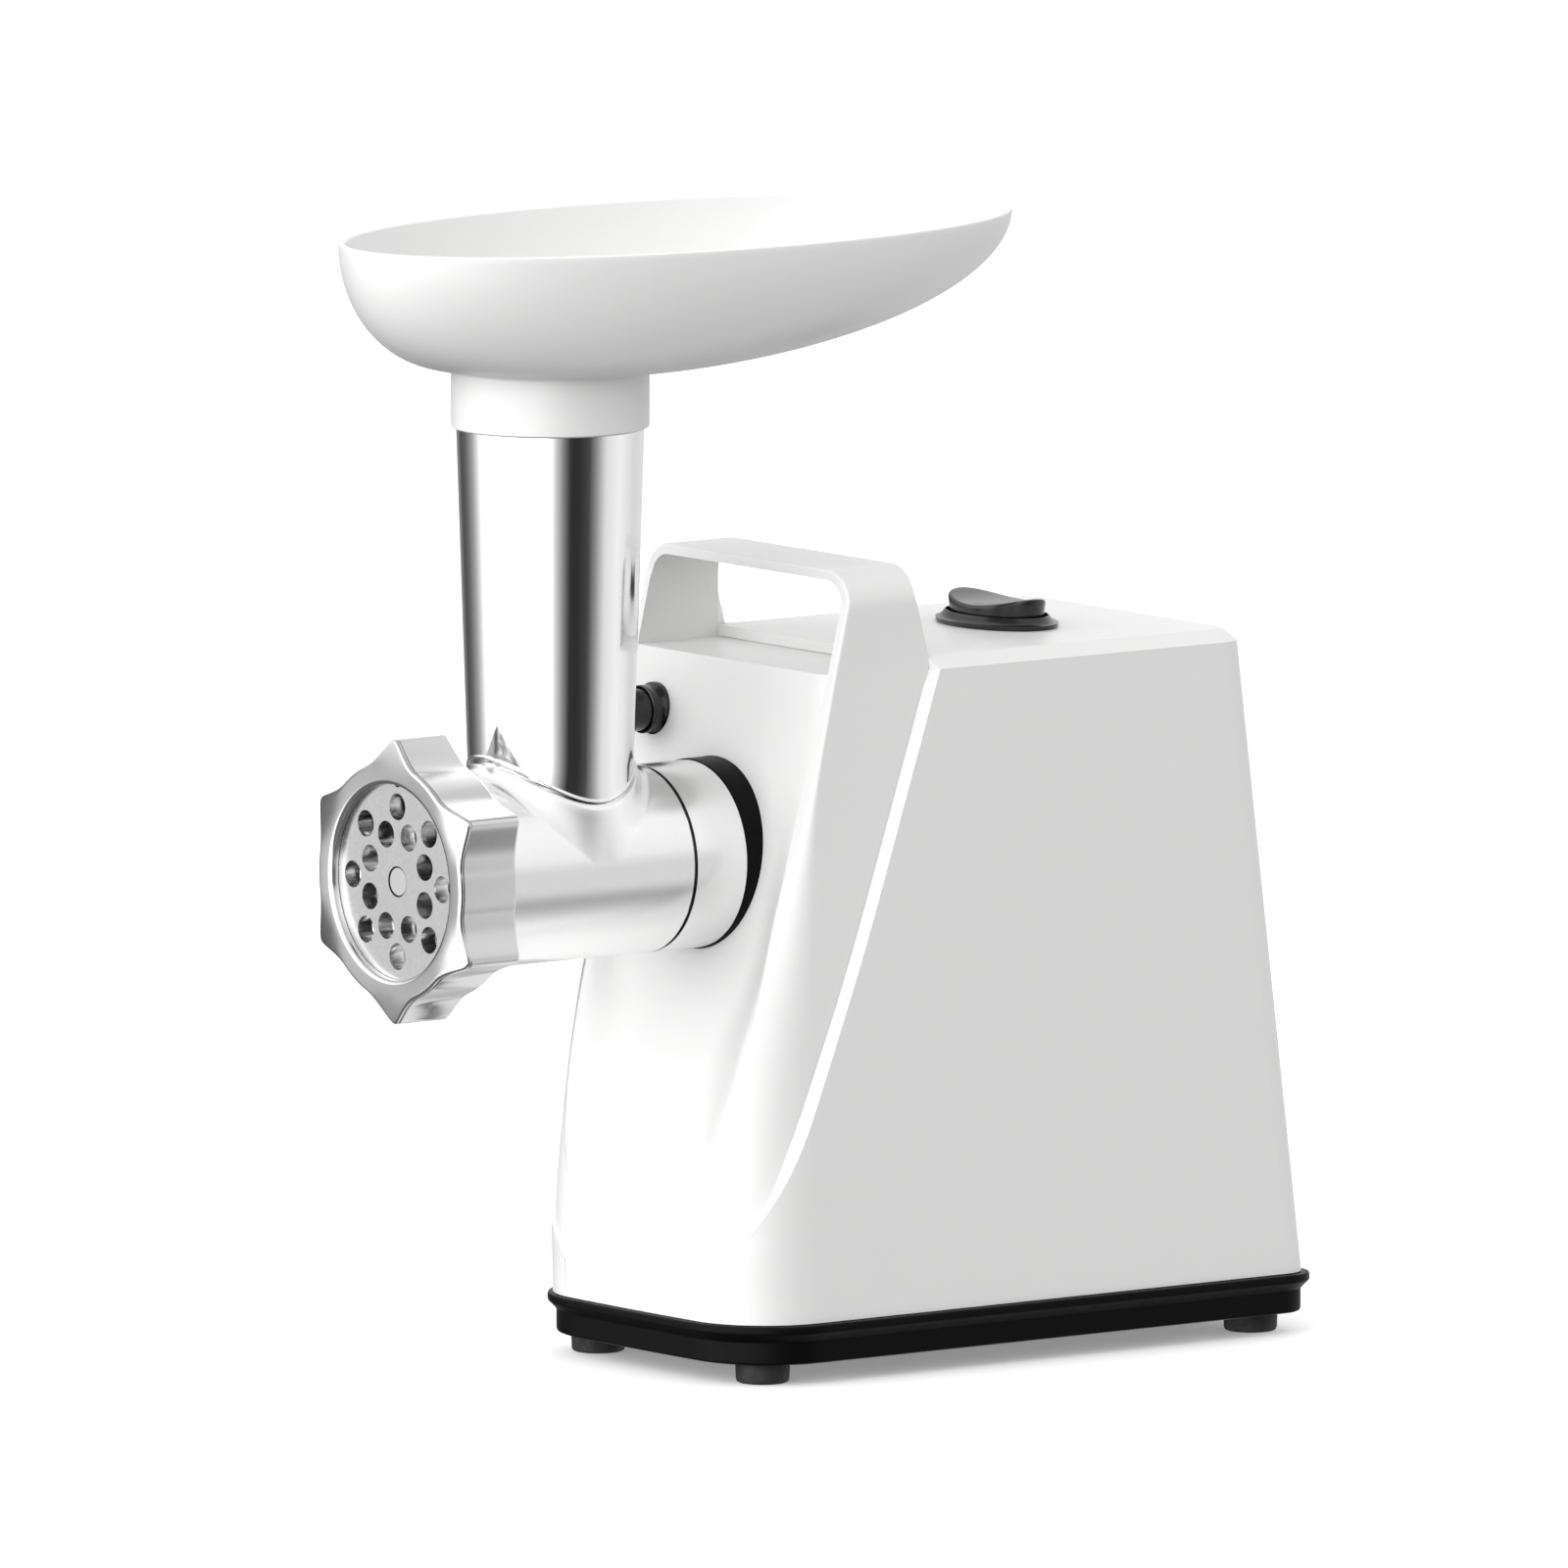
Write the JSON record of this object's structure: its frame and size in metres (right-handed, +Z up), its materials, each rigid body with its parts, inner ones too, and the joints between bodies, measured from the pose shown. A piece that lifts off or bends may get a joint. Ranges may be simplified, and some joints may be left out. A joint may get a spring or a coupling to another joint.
{
  "type": "electric meat grinder",
  "caption": "White electric meat grinder with a metal grinding head, oval feed tray, carrying strap, rocker switch, and a motor and gear train inside.",
  "frame": {"origin": "on the floor under the middle of the object's box", "axes": "+Z up, -Y to the front where the grinding head points, +X to the machine's right as seen from the front"},
  "size_m": [0.122, 0.3064, 0.334],
  "materials": {
    "white_plastic": "satin white ABS",
    "black_plastic": "glossy black ABS",
    "inner_plastic": "moulded grey",
    "rubber": "soft black",
    "satin_aluminium": "satin, finely brushed",
    "polished_steel": "polished",
    "cutter_steel": "ground",
    "machined_steel": "turned",
    "gear_nylon": "natural nylon",
    "gearbox_plastic": "glass-filled nylon",
    "bracket_aluminium": "die cast",
    "lamination_steel": "stacked sheet",
    "copper_wire": "enamelled winding",
    "bronze": "sintered",
    "carbon": "pressed carbon"
  },
  "bodies": {
    "housing": {"rear_housing": "white_plastic", "front_housing": "white_plastic", "carry_handle": "white_plastic", "base_plate": "black_plastic", "feet": "rubber", "base_screws": "machined_steel", "head_socket": "satin_aluminium", "socket_screws": "machined_steel", "socket_seal": "black_plastic", "button_bezel": "black_plastic", "switch_bezel": "black_plastic", "switch_body": "inner_plastic", "cord_gland": "rubber", "gearbox_case": "gearbox_plastic", "gearbox_cover": "gearbox_plastic", "gearbox_screws": "machined_steel", "idler_pins": "machined_steel", "drive_bushes": "bronze", "motor_stator": "lamination_steel", "field_coils": "copper_wire", "motor_front_bracket": "bracket_aluminium", "motor_rear_bracket": "bracket_aluminium", "motor_bolts": "machined_steel", "motor_bearings": "machined_steel", "brush_holders": "inner_plastic", "carbon_brushes": "carbon"},
    "release": {"release_button": "black_plastic", "lock_lever": "machined_steel", "release_spring": "machined_steel"},
    "rocker": {"switch_rocker": "black_plastic"},
    "head": {"barrel": "satin_aluminium", "plate_key": "cutter_steel", "feed_tube": "polished_steel"},
    "plate": {"cutting_plate": "cutter_steel"},
    "ring": {"ring_nut": "satin_aluminium"},
    "tray": {"feed_tray": "white_plastic"},
    "rotor": {"rotor_shaft": "machined_steel", "armature": "lamination_steel", "armature_windings": "copper_wire", "commutator": "bronze", "motor_fan": "inner_plastic", "motor_pinion": "machined_steel"},
    "idler_1": {"idler_gear_1": "gear_nylon"},
    "idler_2": {"idler_gear_2": "gear_nylon"},
    "drive": {"drive_shaft": "machined_steel", "output_gear": "gear_nylon", "auger": "satin_aluminium", "cutting_knife": "cutter_steel"}
  },
  "joints": [
    {"name": "rotor_spin", "type": "hinge", "parent": "housing", "child": "rotor", "pos_m": [0, 0, 0.08], "axis": [0, -1, 0], "continuous": true},
    {"name": "idler_1_spin", "type": "hinge", "parent": "housing", "child": "idler_1", "pos_m": [0.0228, 0, 0.08749], "axis": [0, -1, 0], "continuous": true},
    {"name": "idler_2_spin", "type": "hinge", "parent": "housing", "child": "idler_2", "pos_m": [0.01801, 0, 0.11711], "axis": [0, -1, 0], "continuous": true},
    {"name": "drive_spin", "type": "hinge", "parent": "housing", "child": "drive", "pos_m": [0, 0, 0.15], "axis": [0, -1, 0], "continuous": true},
    {"name": "head_turn", "type": "hinge", "parent": "housing", "child": "head", "pos_m": [0, 0, 0.15], "axis": [0, -1, 0], "range_deg": [0, 45]},
    {"name": "plate_draw", "type": "slide", "parent": "head", "child": "plate", "axis": [0, -1, 0], "range_m": [0, 0.0075]},
    {"name": "ring_unscrew", "type": "hinge", "parent": "plate", "child": "ring", "pos_m": [0, 0, 0.15], "axis": [0, -1, 0], "range_deg": [0, 900]},
    {"name": "tray_lift", "type": "slide", "parent": "head", "child": "tray", "axis": [0, 0, 1], "range_m": [0, 0.06]},
    {"name": "button_press", "type": "slide", "parent": "housing", "child": "release", "axis": [0, 1, 0], "range_m": [0, 0.003], "stiffness_N_per_m": 900, "deforming": ["release_spring"]},
    {"name": "rocker_tilt", "type": "hinge", "parent": "housing", "child": "rocker", "pos_m": [0, 0.07628, 0.2098], "axis": [0, 1, 0], "range_deg": [-10, 10]}
  ],
  "couplings": [
    {"joint": "idler_1_spin", "follows": "rotor_spin", "ratio": -0.25},
    {"joint": "idler_2_spin", "follows": "rotor_spin", "ratio": 0.0625},
    {"joint": "drive_spin", "follows": "rotor_spin", "ratio": -0.015625},
    {"joint": "plate_draw", "follows": "ring_unscrew", "m_per_rad": 0.00047746}
  ]
}
